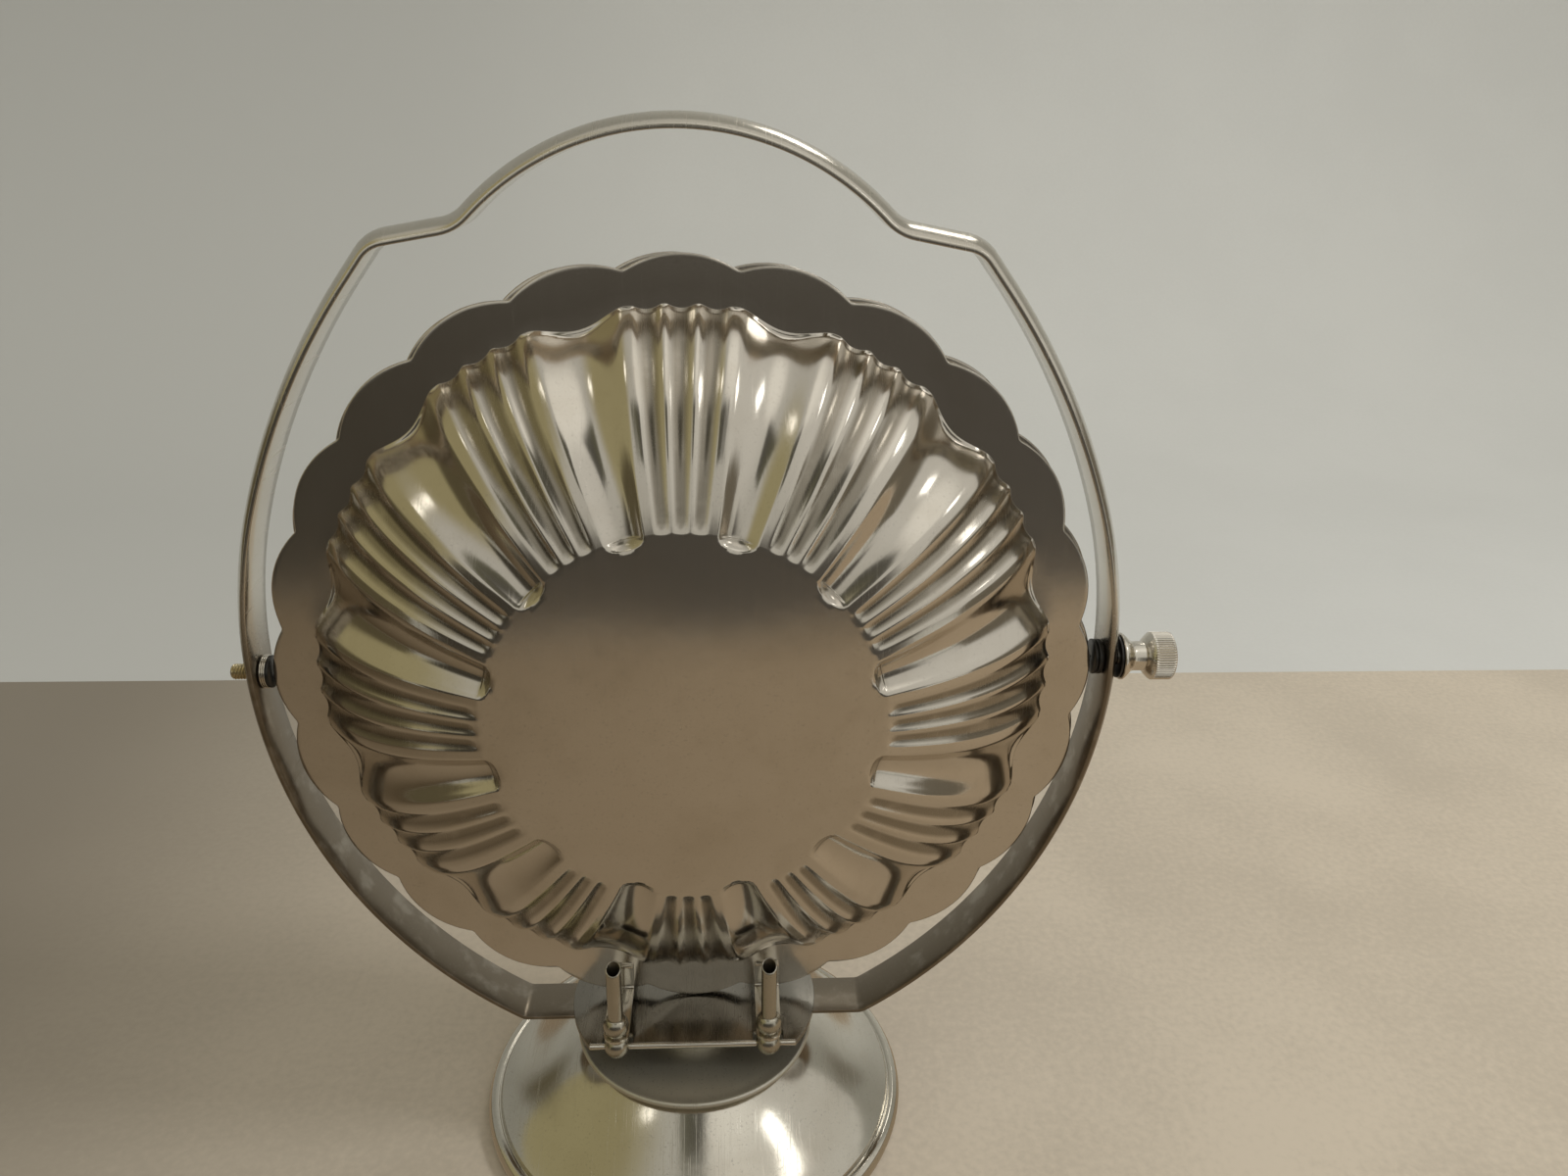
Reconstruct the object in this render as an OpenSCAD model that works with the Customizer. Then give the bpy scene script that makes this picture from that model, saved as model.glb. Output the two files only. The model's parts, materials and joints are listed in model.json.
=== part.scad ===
// Folding biscuit box: two fluted dishes, closed face to face inside a loop handle on a round foot.
// Each dish stands on two short arms that turn on a rod along one edge of the hinge plate.
// X runs along the hinge rods, Y through the closed dishes, Z up from the table; sizes in mm.

/* [Dishes] */
// Radius over the scalloped rim
rim_r = 100; // [98:0.5:101]
// How far the rim's notches cut in
notch_depth = 3; // [1:0.5:4]
// Radius where the fluted wall meets the rim flange
wall_r = 90; // [89:0.25:91]
// Radius of the flat middle
flat_r = 46; // [42:1:50]
// Depth of the dish from the closing plane to its flat middle
dish_depth = 28.5; // [24:0.5:31]
// Sheet thickness of the dishes
sheet_t = 0.9; // [0.7:0.1:1.1]
// Depth of the grooves between the narrow ribs
groove_depth = 1.1; // [0.5:0.1:1.5]
// Depth of the broad hollow flutes
scoop_depth = 3.4; // [2:0.2:4]
// Groups of ribs around one dish
groups = 12; // [12:1:12]
// Turn of the back dish in its own plane
back_twist = 1.5; // [0:0.5:3]

/* [Handle] */
// Width of the handle strap
strap_w = 13; // [11:0.5:14]
// Thickness of the strap at its middle
strap_t = 3.4; // [3:0.1:3.8]
// Thickness of the strap at its edges
strap_edge_t = 1; // [0.8:0.1:1.2]

/* [Stand] */
// Height of the dishes' centre above the table
rim_z = 133; // [132:0.5:138]
// Radius of the foot
foot_r = 58.5; // [54:0.5:64]
// Radius of the disc on the foot
disc_r = 32.5; // [30:0.5:36]
// Radius of the hinge plate
plate_r = 33.5; // [32:0.5:36]
// Thickness of the hinge plate
plate_t = 1.6; // [1.4:0.1:2]

/* [Hinges] */
// Distance of each hinge rod from the closing plane
rod_y = 19.5; // [18.5:0.25:20.5]
// Diameter of the hinge rods
rod_d = 1.6; // [1.2:0.1:1.8]
// Half the distance between the two arms of a dish
arm_x = 20; // [19:0.5:21]
// Diameter of the arm tubes
arm_d = 4; // [3.5:0.1:4.2]

/* [Side screws] */
// Height of the left bolt above the dishes' centre
left_bolt_z = 0.8; // [-2:0.2:4]
// Height of the thumb screw above the dishes' centre
thumb_z = 3.3; // [0:0.1:5]
// Diameter of the thumb screw's knurled head
knob_d = 12; // [11.5:0.5:14]
// Grooves around the knurled head
knurls = 36; // [24:2:40]

/* [Hidden] */
$fn = 64;
plate_gap = 0.4;       // rim to hinge plate
closing_gap = 0.3;     // closing plane to each rim
fit_gap = 0.05;        // turning fits
seat_gap = 0.02;       // fixed pieces that sit in or on each other
skin_gap = 0.15;       // turning faces that pass each other

plate_top = rim_z - rim_r - plate_gap;
strap_z = plate_top - plate_t;
rod_z = plate_top - 0.2;
rod_len = 2 * sqrt(pow(plate_r, 2) - pow(rod_y, 2));

flange_y = closing_gap + sheet_t + 0.2;  // outside face of the rim flange
period = 360 / groups;

SILVER = [0.72, 0.70, 0.66];
BRIGHT = [0.80, 0.79, 0.76];
DARK = [0.10, 0.09, 0.08];
BRASS = [0.55, 0.48, 0.30];

// ---------- small helpers ----------

module bar_x(r, x0, x1) { translate([x0, 0, 0]) rotate([0, 90, 0]) cylinder(r = r, h = x1 - x0); }

module disc(r, z0, z1) { translate([0, 0, z0]) cylinder(r = r, h = z1 - z0); }

module back_side() { rotate([0, 0, 180]) children(); }

// ---------- fluted dish ----------

// Angles across one group of ribs and half of each broad flute beside it
half_steps = [2.4, 4.8, 7.5, 8.8, 11.2];
steps = concat([0], half_steps, [period / 2], [for (i = [4:-1:0]) period - half_steps[i]]);
ring_angles = [for (g = [0:groups - 1]) for (s = steps) g * period + s];
ring_n = len(ring_angles);

rib_pitch = 4.8;
scallop = period / 2;
heel_run = 2.4;          // run of the slope at the inner end of each flute

// Angle from the middle of the nearest group of ribs
function from_group(a) = abs(a - period * round(a / period));
// Angle from the middle of the nearest scallop
function from_scallop(a) = abs(a - scallop * round(a / scallop));
function rim_at(a) = rim_r - notch_depth * pow(2 * from_scallop(a) / scallop, 2);

// Wall outline over the crests: u runs from 0 at the flat middle to 1 where the wall stands upright
wall_us = [0, 0.05, 0.2, 0.4, 0.58, 0.72, 0.83, 0.92, 0.98];
function crest_r(u) = flat_r + (wall_r - flat_r) * u;
function crest_y(u) = dish_depth * pow(1 - u * u, 0.75);
function slope(u) = dish_depth * 1.5 * u * pow(1 - u * u, -0.25) / (wall_r - flat_r);
function normal(u) = [slope(u), 1] / norm([slope(u), 1]);

// Half angle of a broad flute, and how far in the sheet is pressed at angle a:
// a square-ended trough by the flat middle, a soft one at the rim
scoop_half_in = 5.3;
scoop_half_out = 7.3;
function scoop_half(u) = scoop_half_in + (scoop_half_out - scoop_half_in) * u;
function scoop_in(u, a) = let (x = min(1, (scallop - from_group(a)) / scoop_half(u)))
    scoop_depth * (0.68 + 0.32 * u) * pow(1 - x * x, 0.45 + 1.35 * u);
function groove_in(u, a) = from_group(a) > 1.5 * rib_pitch ? 0
    : groove_depth * (0.35 + 0.65 * u) * (1 + cos(360 * from_group(a) / rib_pitch)) / 2;
function pressed(u, a) = scoop_in(u, a) + groove_in(u, a);

// Direction of the pressing: square to the wall, and turning level toward the flange
turn_start = 0.7;
function turned(u) = let (t = max(0, (u - turn_start) / (1 - turn_start))) t * t * (3 - 2 * t);
function press_way(u) = [normal(u)[0], normal(u)[1] * (1 - turned(u))];

// One ring of the sheet's outside (skin = 0) or inside (skin = sheet_t), as [radius, depth] at an angle
function wall_point(u, a, skin) = [crest_r(u), crest_y(u)] - pressed(u, a) * press_way(u) - skin * normal(u);
function flange_point(a, skin) =
    [wall_r + 0.4 - pressed(0.98, a) - 0.7 * skin, skin > 0 ? closing_gap : flange_y];
function rim_point(a, skin) = [rim_at(a), skin > 0 ? closing_gap : flange_y];
function heel_point(a, skin) = [flat_r - heel_run, dish_depth - skin];

function place(p, a) = [p[0] * sin(a), -p[1], p[0] * cos(a)];

function skin_rings(skin) = concat(
    [[for (a = ring_angles) place(heel_point(a, skin), a)]],
    [for (u = wall_us) [for (a = ring_angles) place(wall_point(u, a, skin), a)]],
    [[for (a = ring_angles) place(flange_point(a, skin), a)],
     [for (a = ring_angles) place(rim_point(a, skin), a)]]);

function reversed(v) = [for (i = [len(v) - 1:-1:0]) v[i]];

module dish() {
    rings = concat(skin_rings(0), reversed(skin_rings(sheet_t)));
    points = concat([for (r = rings) for (p = r) p],
                    [[0, -dish_depth, 0], [0, sheet_t - dish_depth, 0]]);
    last = (len(rings) - 1) * ring_n;
    outer_tip = len(points) - 2;
    inner_tip = len(points) - 1;
    polyhedron(points, concat(
        [for (i = [0:ring_n - 1]) [outer_tip, i, (i + 1) % ring_n]],
        [for (k = [0:len(rings) - 2]) for (i = [0:ring_n - 1])
            let (j = (i + 1) % ring_n, b = k * ring_n) [b + i, b + ring_n + i, b + j]],
        [for (k = [0:len(rings) - 2]) for (i = [0:ring_n - 1])
            let (j = (i + 1) % ring_n, b = k * ring_n) [b + j, b + ring_n + i, b + ring_n + j]],
        [for (i = [0:ring_n - 1]) [inner_tip, last + (i + 1) % ring_n, last + i]]));
}

module front_shell() { color(SILVER) translate([0, 0, rim_z]) dish(); }
module back_shell() { color(SILVER) translate([0, 0, rim_z]) back_side() rotate([0, back_twist, 0]) dish(); }

// ---------- handle strap ----------

// Right half of the handle from its top, as [radius, turn, steps] bends; a negative radius bends
// outward, and a radius of 0 is a straight of that length.
handle_run = [[61, 45, 7], [-12, -34.5, 5], [0, 12, 1], [7, 42, 6], [0, 6.6, 1],
              [172, 20, 4], [125, 74, 12], [3, 33.5, 3]];

// Pose [x, z, heading] after a bend, from a start at x = 0 and z = 0, heading along +X
function after(p, b) = b[0] == 0
    ? [p[0] + b[1] * cos(p[2]), p[1] + b[1] * sin(p[2]), p[2]]
    : let (h = p[2] - b[1])
      [p[0] + b[0] * (sin(p[2]) - sin(h)), p[1] - b[0] * (cos(p[2]) - cos(h)), h];
function pose(i) = i == 0 ? [0, 0, 0] : after(pose(i - 1), handle_run[i - 1]);
run_end = pose(len(handle_run));

// The loop's poses as [x, z, outward x, outward z], clockwise from the top
right_half = concat([[0, 0, 0, 1]],
    [for (i = [0:len(handle_run) - 1]) let (p = pose(i), b = handle_run[i])
        for (k = [1:b[2]]) let (q = after(p, [b[0], b[1] * k / b[2]])) [q[0], q[1], -sin(q[2]), cos(q[2])]]);
left_half = [for (i = [len(right_half) - 1:-1:1]) let (q = right_half[i]) [-q[0], q[1], -q[2], q[3]]];
loop = concat(right_half, left_half);

// Strap section as [out from the loop, across]: flat on the loop's inside, domed on the outside
dome_sag = strap_t - strap_edge_t;
dome_r = (pow(strap_w / 2, 2) + pow(dome_sag, 2)) / (2 * dome_sag);
dome_half = asin(strap_w / 2 / dome_r);
dome_steps = 8;
strap_dome = [for (k = [0:dome_steps]) let (a = dome_half * (1 - 2 * k / dome_steps))
    [strap_t - dome_r + dome_r * cos(a), dome_r * sin(a)]];
strap_section = concat([[0, strap_w / 2]], strap_dome, [[0, -strap_w / 2]]);

module strap_loop() {
    n = len(loop);
    m = len(strap_section);
    points = [for (q = loop) for (s = strap_section)
        [q[0] + q[2] * s[0], s[1], q[1] - run_end[1] + strap_z + q[3] * s[0]]];
    polyhedron(points, [for (i = [0:n - 1]) for (k = [0:m - 1])
        let (a = i * m, b = ((i + 1) % n) * m, j = (k + 1) % m)
        for (f = [[a + k, a + j, b + k], [a + j, b + j, b + k]]) f]);
}

// The straight along the bottom of the loop
module strap_bottom() {
    translate([-run_end[0], 0, strap_z]) rotate([90, 90, 90])
        linear_extrude(2 * run_end[0]) polygon(strap_section);
}

stud_r = 2.5;
side_r = 2;

module handle_frame() {
    color(SILVER) difference() {
        strap_loop();
        disc(stud_r + fit_gap, strap_z - 10, strap_z + 10);
        translate([0, 0, rim_z + left_bolt_z]) bar_x(side_r + seat_gap, -130, -90);
        translate([0, 0, rim_z + thumb_z]) bar_x(side_r + fit_gap, 90, 130);
    }
}

// ---------- stand ----------

disc_top = rim_z - 108.6;
disc_t = 1;
disc_bead = 0.8;
foot_wall = 1;
foot_top_r = 27;
foot_low_r = foot_r - 3.9;
foot_low_z = 5.2;
foot_high_z = disc_top - disc_t;
dome_start = 0.62;      // share of the dome's mean slope it starts with; the rest comes with the cube of s
dome_swell = 0.28;      // how far its upper half swells outward

// Outline of the dome between the bead and the disc, as [radius, height]
function dome_at(s) = [foot_low_r + (foot_top_r - foot_low_r) * s,
    foot_low_z + (foot_high_z - foot_low_z)
        * (dome_start * s + (1 - dome_start) * pow(s, 3) + dome_swell * sin(180 * s) * s)];
foot_steps = 14;
dome_line = [for (i = [0:foot_steps]) dome_at(i / foot_steps)];

module foot_profile() {
    rim_line = [[foot_r - 1.1, 0], [foot_r - 0.3, 0.6], [foot_r, 1.8], [foot_r, 2.6], [foot_r - 0.4, 3.6],
                [foot_r - 1.2, 4.2], [foot_r - 2.4, 4.3], [foot_r - 3.2, 4.5]];
    inside = [for (i = [foot_steps:-1:0]) dome_line[i] - [1.2, foot_wall]];
    polygon(concat(rim_line, dome_line, [[0, foot_high_z], [0, foot_high_z - foot_wall]], inside,
                   [[foot_r - 5, foot_low_z - 2], [foot_r - 2.4, 2.6], [foot_r - 2.4, 0]]));
}

module foot() {
    color(SILVER) difference() {
        rotate_extrude($fn = 128) foot_profile();
        disc(stud_r + fit_gap, 0, disc_top + 1);
    }
}

module top_disc() {
    color(SILVER) difference() {
        union() {
            disc(disc_r - disc_bead, disc_top - disc_t, disc_top);
            translate([0, 0, disc_top - disc_bead + 0.2])
                rotate_extrude($fn = 128) translate([disc_r - disc_bead, 0]) circle(r = disc_bead, $fn = 32);
        }
        disc(stud_r + fit_gap, 0, disc_top + 1);
    }
}

neck_r = 14;

module neck() {
    color(SILVER) difference() {
        union() {
            disc(neck_r, disc_top, disc_top + 2.4);
            disc(neck_r - 3, disc_top + 2.4, strap_z - 1);
        }
        strap_bottom();
        disc(stud_r + fit_gap, 0, strap_z);
    }
}

stud_low_z = foot_high_z - foot_wall - 7.5;
washer_t = 1.2;
nut_h = 4;

module centre_stud() { color(BRASS) disc(stud_r, stud_low_z, strap_z - seat_gap); }

module centre_washer() {
    color(BRASS) difference() {
        disc(9, foot_high_z - foot_wall - seat_gap - washer_t, foot_high_z - foot_wall - seat_gap);
        disc(stud_r + seat_gap, 0, disc_top);
    }
}

module centre_nut() {
    nut_top = foot_high_z - foot_wall - washer_t - 2 * seat_gap;
    color(BRASS) difference() {
        translate([0, 0, nut_top - nut_h]) cylinder(r = 4.8, h = nut_h, $fn = 6);
        disc(stud_r + seat_gap, 0, disc_top);
    }
}

notch_w = 7.8;
notch_in = 4.3;

module hinge_plate() {
    color(SILVER) difference() {
        intersection() {
            disc(plate_r, strap_z, plate_top);
            translate([-plate_r, -rod_y, 0]) cube([2 * plate_r, 2 * rod_y, rim_z]);
        }
        for (side = [0, 180], x = [-arm_x, arm_x]) rotate([0, 0, side])
            translate([x - notch_w / 2, -rod_y - 1, 0]) cube([notch_w, notch_in + 1, rim_z]);
        for (y = [-rod_y, rod_y])
            translate([0, y, rod_z]) bar_x(rod_d / 2 + seat_gap, -plate_r - 1, plate_r + 1);
    }
}

module rod() { translate([0, -rod_y, rod_z]) bar_x(rod_d / 2, -rod_len / 2, rod_len / 2); }
module front_rod() { color(BRIGHT) rod(); }
module back_rod() { color(BRIGHT) back_side() rod(); }

// ---------- arms ----------

bead_r = 3.4;
knuckle_up = 3.5;         // rod to the underside of the bracket
bracket_t = 0.9;
bracket_w = 6.7;
collar_h = 5.4;
arm_top_z = rim_z - 75;
arm_bevel = 30;
arm_wall = 0.5;
leg_top_z = rim_z - 89.2;
shelf_z = rod_z + knuckle_up;

module at_arm(x) { translate([x, -rod_y, 0]) children(); }

module bead(z_mid, z0, z1) {
    intersection() {
        translate([0, 0, z_mid]) sphere(r = bead_r);
        disc(bead_r, z0, z1);
    }
}

module knuckle(x) {
    color(BRIGHT) at_arm(x) difference() {
        bead(rod_z + 0.4, rod_z - 2.8, shelf_z);
        translate([0, 0, rod_z]) bar_x(rod_d / 2 + fit_gap, -bead_r, bead_r);
    }
}

module bracket(x) {
    leg_y = rod_y - flange_y - seat_gap - bracket_t;
    color(SILVER) at_arm(x) {
        disc(bracket_w / 2, shelf_z, shelf_z + bracket_t);
        translate([-bracket_w / 2, 0, shelf_z]) cube([bracket_w, leg_y + bracket_t, bracket_t]);
        translate([-bracket_w / 2, leg_y, shelf_z]) cube([bracket_w, bracket_t, leg_top_z - shelf_z]);
    }
}

module collar(x) {
    z0 = shelf_z + bracket_t + seat_gap;
    color(BRIGHT) at_arm(x) difference() {
        bead(z0 + collar_h / 2, z0, z0 + collar_h);
        disc(arm_d / 2 + seat_gap, z0 - 1, z0 + collar_h + 1);
    }
}

module arm(x) {
    z0 = shelf_z + bracket_t + seat_gap;
    color(BRIGHT) at_arm(x) difference() {
        disc(arm_d / 2, z0, arm_top_z + 3);
        disc(arm_d / 2 - arm_wall, z0 + 1, arm_top_z + 4);
        translate([-5, 0, arm_top_z]) rotate([arm_bevel, 0, 0]) translate([0, -10, 0]) cube([10, 20, 10]);
    }
}

module front_knuckle_l() { knuckle(-arm_x); }
module front_knuckle_r() { knuckle(arm_x); }
module front_bracket_l() { bracket(-arm_x); }
module front_bracket_r() { bracket(arm_x); }
module front_collar_l() { collar(-arm_x); }
module front_collar_r() { collar(arm_x); }
module front_arm_l() { arm(-arm_x); }
module front_arm_r() { arm(arm_x); }
module back_knuckle_l() { back_side() knuckle(-arm_x); }
module back_knuckle_r() { back_side() knuckle(arm_x); }
module back_bracket_l() { back_side() bracket(-arm_x); }
module back_bracket_r() { back_side() bracket(arm_x); }
module back_collar_l() { back_side() collar(-arm_x); }
module back_collar_r() { back_side() collar(arm_x); }
module back_arm_l() { back_side() arm(-arm_x); }
module back_arm_r() { back_side() arm(arm_x); }

// ---------- side screws ----------

strap_in_x = 102.9;                  // inside of the strap beside the dishes' centre
strap_out_x = strap_in_x + strap_t;
pad_x = rim_r + 0.35;
pad_floor = 0.38;                    // rubber left under the end of a screw
pad_t = 0.75;
pad_r = 4;
collar_x = pad_x + pad_t + fit_gap;
collar_r = 4.1;
collar_core_r = 3.5;
ring_t = 0.38;                       // each of the collar's three rings
ring_pitch = 0.48;
strap_clear = 0.4;                   // pads to the strap's inside, which curves away from them

module left_side() { translate([0, 0, rim_z + left_bolt_z]) mirror([1, 0, 0]) children(); }
module right_side() { translate([0, 0, rim_z + thumb_z]) children(); }

module left_bolt() { color(BRASS) left_side() bar_x(side_r, pad_x + pad_floor + seat_gap, strap_out_x + 3.8); }

module left_collar() {
    color(BRIGHT) left_side() difference() {
        union() {
            bar_x(collar_core_r, collar_x, collar_x + 2 * ring_pitch + ring_t);
            for (i = [0:2]) bar_x(collar_r, collar_x + i * ring_pitch, collar_x + i * ring_pitch + ring_t);
        }
        bar_x(side_r + seat_gap, 90, 120);
    }
}

module left_pad() {
    color(DARK) left_side() difference() {
        bar_x(pad_r, pad_x, pad_x + pad_t);
        bar_x(side_r + seat_gap, pad_x + pad_floor, 120);
    }
}

right_pad_r = 4.4;

module right_pad() {
    color(DARK) right_side() difference() {
        bar_x(right_pad_r, pad_x, strap_in_x - strap_clear);
        bar_x(side_r + 0.3, pad_x + 0.6, 120);
    }
}

washer_in_x = strap_out_x + 0.3;
washer_t_out = 0.6;
washer_out_x = washer_in_x + washer_t_out;
collar_in_x = washer_out_x + skin_gap;
dome_r_out = 5.9;
shank_neck_r = 3.7;
knob_x = strap_out_x + 7.1;
knob_end_x = knob_x + 7.2;
knurl_x = knob_x + 2.2;              // where the knurled band begins
knurl_r = 0.42;

module thumb_washer() {
    color(DARK) right_side() difference() {
        bar_x(5.4, washer_in_x, washer_out_x);
        bar_x(side_r + 0.3, 90, 120);
    }
}

// Shank through the strap, its domed collar and its neck
module thumb_shank() {
    color(BRIGHT) right_side() {
        bar_x(side_r, pad_x + 1, knob_x);
        rotate([0, 90, 0]) rotate_extrude()
            polygon([[0, collar_in_x], [dome_r_out, collar_in_x], [dome_r_out, collar_in_x + 0.6],
                     [dome_r_out - 0.6, collar_in_x + 1.4], [dome_r_out - 1.4, collar_in_x + 2.3],
                     [shank_neck_r, collar_in_x + 3.1], [shank_neck_r, knob_x], [0, knob_x]]);
    }
}

module thumb_knob() {
    knob_r = knob_d / 2;
    color(BRIGHT) right_side() difference() {
        rotate([0, 90, 0]) rotate_extrude()
            polygon([[0, knob_x], [shank_neck_r, knob_x], [knob_r - 0.9, knob_x + 1], [knob_r, knurl_x],
                     [knob_r, knob_end_x - 0.7], [knob_r - 0.8, knob_end_x - 0.1], [0, knob_end_x]]);
        for (i = [0:knurls - 1]) rotate([i * 360 / knurls, 0, 0])
            translate([0, 0, knob_r + 0.15]) bar_x(knurl_r, knurl_x - 0.6, knob_end_x + 1, $fn = 16);
    }
}

foot();
top_disc();
neck();
centre_stud();
centre_washer();
centre_nut();
handle_frame();
hinge_plate();
front_rod();
back_rod();
left_bolt();
left_collar();
left_pad();
right_pad();
thumb_washer();
thumb_shank();
thumb_knob();
front_shell();
front_knuckle_l();
front_knuckle_r();
front_bracket_l();
front_bracket_r();
front_collar_l();
front_collar_r();
front_arm_l();
front_arm_r();
back_shell();
back_knuckle_l();
back_knuckle_r();
back_bracket_l();
back_bracket_r();
back_collar_l();
back_collar_r();
back_arm_l();
back_arm_r();
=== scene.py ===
"""Looks of the folding biscuit box: two fluted silver-plated dishes in a loop handle on a round foot.

Lengths of the object are in millimetres, and become metres where a mesh is made. The studio is in metres.
X runs along the hinge rods, Y through the closed dishes, Z up from the table.
"""
import json
import math

import bmesh
import bpy
import numpy as np
from mathutils import Matrix, Vector


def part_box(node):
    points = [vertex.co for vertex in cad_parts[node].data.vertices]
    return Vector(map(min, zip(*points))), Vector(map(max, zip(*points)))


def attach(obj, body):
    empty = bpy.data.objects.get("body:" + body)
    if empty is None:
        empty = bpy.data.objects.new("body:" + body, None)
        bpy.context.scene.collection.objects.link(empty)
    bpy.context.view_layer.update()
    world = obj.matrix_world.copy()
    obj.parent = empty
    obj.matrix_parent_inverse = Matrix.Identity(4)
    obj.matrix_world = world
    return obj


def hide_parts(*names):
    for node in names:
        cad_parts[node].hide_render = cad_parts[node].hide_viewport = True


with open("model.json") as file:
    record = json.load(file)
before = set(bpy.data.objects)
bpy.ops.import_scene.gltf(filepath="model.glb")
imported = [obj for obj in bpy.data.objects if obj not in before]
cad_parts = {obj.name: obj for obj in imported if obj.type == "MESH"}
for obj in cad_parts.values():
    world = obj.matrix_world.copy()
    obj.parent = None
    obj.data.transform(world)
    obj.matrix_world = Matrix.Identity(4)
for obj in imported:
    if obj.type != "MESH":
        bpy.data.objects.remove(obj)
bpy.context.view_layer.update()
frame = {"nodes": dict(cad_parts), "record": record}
MM = 0.001

BODY_OF = {n: body for body, nodes in frame["record"]["behaviour"]["bodies"].items() for n in nodes}


def box_mm(node):
    """Lowest and highest corner of a CAD node, in millimetres."""
    low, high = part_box(node)
    return low / MM, high / MM


# ---------- sizes taken from the frame ----------

SHELL_LOW, SHELL_HIGH = box_mm("front_shell")
STRAP_LOW, STRAP_HIGH = box_mm("handle_frame")
FOOT_HIGH = box_mm("foot")[1]
PLATE_LOW, PLATE_HIGH = box_mm("hinge_plate")

RIM_R = (SHELL_HIGH.z - SHELL_LOW.z) / 2
RIM_Z = (SHELL_HIGH.z + SHELL_LOW.z) / 2
DISH_DEPTH = -SHELL_LOW.y
CLOSING_GAP = -SHELL_HIGH.y


# ---------- mesh helpers ----------

def add_object(name, mesh):
    """A new object of the scene that shows the mesh."""
    obj = bpy.data.objects.new(name, mesh)
    bpy.context.scene.collection.objects.link(obj)
    return obj


def mesh_in_metres(name, points, faces):
    """A mesh from points in millimetres."""
    mesh = bpy.data.meshes.new(name)
    mesh.from_pydata([tuple(float(c) * MM for c in p) for p in points], [], faces)
    return mesh


def mark_hollows(mesh, darkening_shares):
    """Stores how much the metals darken at each vertex, from 0 to 1: real tarnish in the grooves, painted
    shade in the flange corners, the arms' bores and the strap's lower part, and a darkening at the flute
    heels.
    """
    attribute = mesh.attributes.new("hollow", "FLOAT", "POINT")
    attribute.data.foreach_set("value", np.array(darkening_shares, np.float32))


def new_object(name, points, faces, sharp_deg=40):
    """An object from points in millimetres, smooth except at edges sharper than sharp_deg."""
    mesh = mesh_in_metres(name, points, faces)
    mesh.validate()
    work = bmesh.new()
    work.from_mesh(mesh)
    bmesh.ops.remove_doubles(work, verts=work.verts, dist=1e-7)
    bmesh.ops.recalc_face_normals(work, faces=work.faces)
    work.to_mesh(mesh)
    work.free()
    mesh.shade_smooth()
    mesh.set_sharp_from_angle(angle=math.radians(sharp_deg))
    return add_object(name, mesh)


def grid_faces(rows, columns, close_rows=False, close_columns=True):
    """Quads of a grid whose points are stored row after row."""
    faces = []
    for i in range(rows if close_rows else rows - 1):
        for j in range(columns if close_columns else columns - 1):
            a, b = i * columns, ((i + 1) % rows) * columns
            k = (j + 1) % columns
            faces.append((a + j, a + k, b + k, b + j))
    return faces


STRAIGHT_HALF = math.radians(88)


def corner_arc(before, here, after, radius, steps):
    """Points of the arc that rounds the corner at here, or that corner where the outline is straight."""
    before, after = before - here, after - here
    room = min(np.linalg.norm(before), np.linalg.norm(after)) / 2
    if radius <= 0 or room < 1e-6:
        return [tuple(here)]
    before, after = before / np.linalg.norm(before), after / np.linalg.norm(after)
    half = math.acos(np.clip(before @ after, -1, 1)) / 2
    if half > STRAIGHT_HALF:
        return [tuple(here)]
    cut = min(radius / math.tan(half), room)
    arc_r = cut * math.tan(half)
    middle = (before + after) / np.linalg.norm(before + after)
    centre = here + middle * (arc_r / math.sin(half))
    start, end = here + before * cut - centre, here + after * cut - centre
    turn = math.atan2(start[0] * end[1] - start[1] * end[0], start @ end)
    arc = []
    for k in range(steps + 1):
        c, s = math.cos(turn * k / steps), math.sin(turn * k / steps)
        arc.append(tuple(centre + np.array((c * start[0] - s * start[1], s * start[0] + c * start[1]))))
    return arc


def rounded(points, radius, steps=4, closed=True):
    """A 2D outline with its corners replaced by arcs of up to the radius, or of one radius per corner."""
    count = len(points)
    radii = radius if isinstance(radius, (list, tuple)) else [radius] * count
    corners = [np.array(p, float) for p in points]
    out = []
    for i, here in enumerate(corners):
        if not closed and i in (0, count - 1):
            out.append(tuple(here))
        else:
            out += corner_arc(corners[i - 1], here, corners[(i + 1) % count], radii[i], steps)
    return out


def lathe(name, outline, centre, axis="z", closed=False, segments=96, shape=None):
    """Turns an outline of (radius, height) points about an axis through centre; shape may bend each point."""
    points = []
    for r, h in outline:
        for k in range(segments):
            angle = 2 * math.pi * k / segments
            p, q, along = r * math.cos(angle), r * math.sin(angle), h
            if shape:
                p, q, along = shape(p, q, h, angle)
            offset = (p, q, along) if axis == "z" else (along, p, q)
            points.append([c + o for c, o in zip(centre, offset)])
    return new_object(name, points, grid_faces(len(outline), segments, close_rows=closed))


def extruded(name, outline, low, high, bevel, steps=3):
    """A flat piece of a 2D outline between two heights, with its rims rounded by bevel."""
    work = bmesh.new()
    face = work.faces.new([work.verts.new((x, y, low)) for x, y in outline])
    grown = bmesh.ops.extrude_face_region(work, geom=[face])["geom"]
    tops = [g for g in grown if isinstance(g, bmesh.types.BMVert)]
    bmesh.ops.translate(work, vec=(0, 0, high - low), verts=tops)
    rims = [e for e in work.edges if abs(e.verts[0].co.z - e.verts[1].co.z) < 1e-6]
    bmesh.ops.bevel(work, geom=rims, offset=bevel, segments=steps, profile=0.5,
                    affect="EDGES", clamp_overlap=True)
    work.verts.index_update()
    points = [tuple(v.co) for v in work.verts]
    faces = [[v.index for v in f.verts] for f in work.faces]
    work.free()
    return new_object(name, points, faces)


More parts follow.
